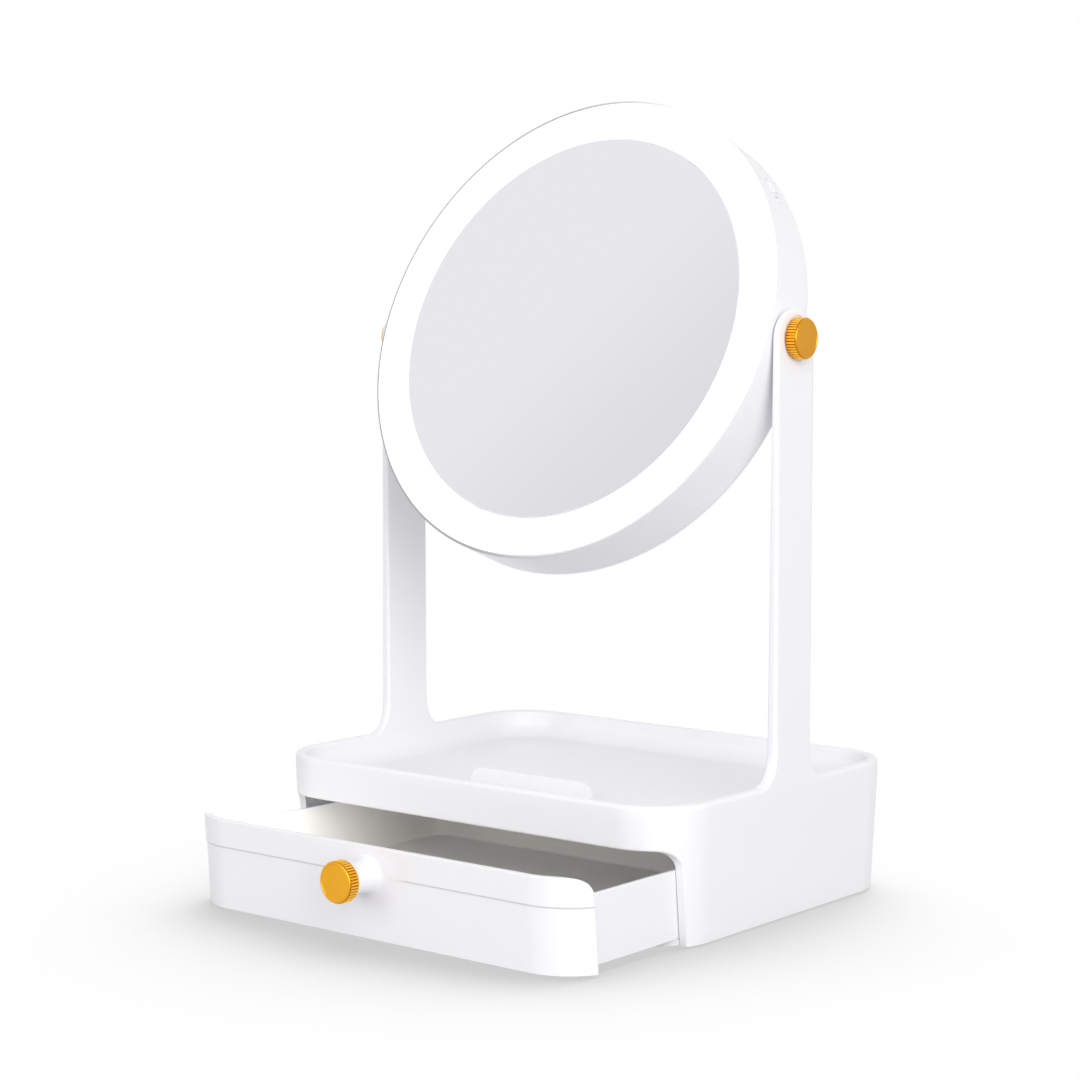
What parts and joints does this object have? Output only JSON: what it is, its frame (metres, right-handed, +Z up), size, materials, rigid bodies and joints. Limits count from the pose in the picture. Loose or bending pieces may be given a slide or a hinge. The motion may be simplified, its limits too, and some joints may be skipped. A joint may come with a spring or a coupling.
{
  "type": "lighted vanity mirror with drawer",
  "caption": "Round tilting vanity mirror with a light ring, held between two posts on a rounded tray base with a pull-out drawer.",
  "frame": {"origin": "on the table under the middle of the whole object, with the drawer standing open as in the picture", "axes": "+Z up, -Y towards the user (the drawer pulls out along -Y), +X to the right seen from the user"},
  "size_m": [0.2152, 0.2322, 0.325],
  "materials": {
    "white_plastic": "satin",
    "drawer_plastic": "satin",
    "inner_plastic": "fine moulded texture",
    "foot_rubber": "matt",
    "steel_screws": "zinc plated",
    "gold_metal": "satin plated gold",
    "ring_diffuser": "satin, lit from behind",
    "mirror_glass": "polished",
    "foam_pad": "adhesive foam",
    "circuit_board": "white solder mask",
    "led_package": "clear",
    "cell_wrap": "film",
    "port_steel": "plain",
    "switch_plastic": "matt",
    "washer_plastic": "plain"
  },
  "bodies": {
    "base": {"base_housing": "white_plastic", "base_plate": "inner_plastic", "rubber_feet": "foot_rubber", "base_screws": "steel_screws"},
    "drawer": {"drawer_front": "white_plastic", "drawer_box": "drawer_plastic", "drawer_knob": "gold_metal", "drawer_knob_screw": "steel_screws", "drawer_front_screws": "steel_screws"},
    "mirror_head": {"head_shell": "white_plastic", "light_ring": "ring_diffuser", "mirror_glass": "mirror_glass", "mirror_pad": "foam_pad", "inner_frame": "inner_plastic", "led_board": "circuit_board", "leds": "led_package", "battery_cell": "cell_wrap", "control_board": "circuit_board", "charging_port": "port_steel", "head_screws": "steel_screws", "switch_body": "switch_plastic", "switch_board": "circuit_board", "pivot_studs": "steel_screws", "pivot_nuts": "steel_screws", "friction_washers": "washer_plastic"},
    "knob_left": {"side_knob_left": "gold_metal"},
    "knob_right": {"side_knob_right": "gold_metal"},
    "switch": {"switch_cap": "white_plastic"}
  },
  "joints": [
    {"name": "drawer_slide", "type": "slide", "parent": "base", "child": "drawer", "axis": [0, -1, 0], "range_m": [-0.0529, 0.0471]},
    {"name": "mirror_tilt", "type": "hinge", "parent": "base", "child": "mirror_head", "pos_m": [0, 0.03461, 0.2273], "axis": [1, 0, 0], "continuous": true},
    {"name": "knob_left_turn", "type": "hinge", "parent": "mirror_head", "child": "knob_left", "pos_m": [-0.105, 0.03461, 0.2273], "axis": [-1, 0, 0], "range_deg": [0, 360]},
    {"name": "knob_right_turn", "type": "hinge", "parent": "mirror_head", "child": "knob_right", "pos_m": [0.105, 0.03461, 0.2273], "axis": [1, 0, 0], "range_deg": [0, 360]},
    {"name": "switch_slide", "type": "slide", "parent": "mirror_head", "child": "switch", "axis": [0.628, -0.2814, -0.7256], "range_m": [0, 0.003]}
  ]
}
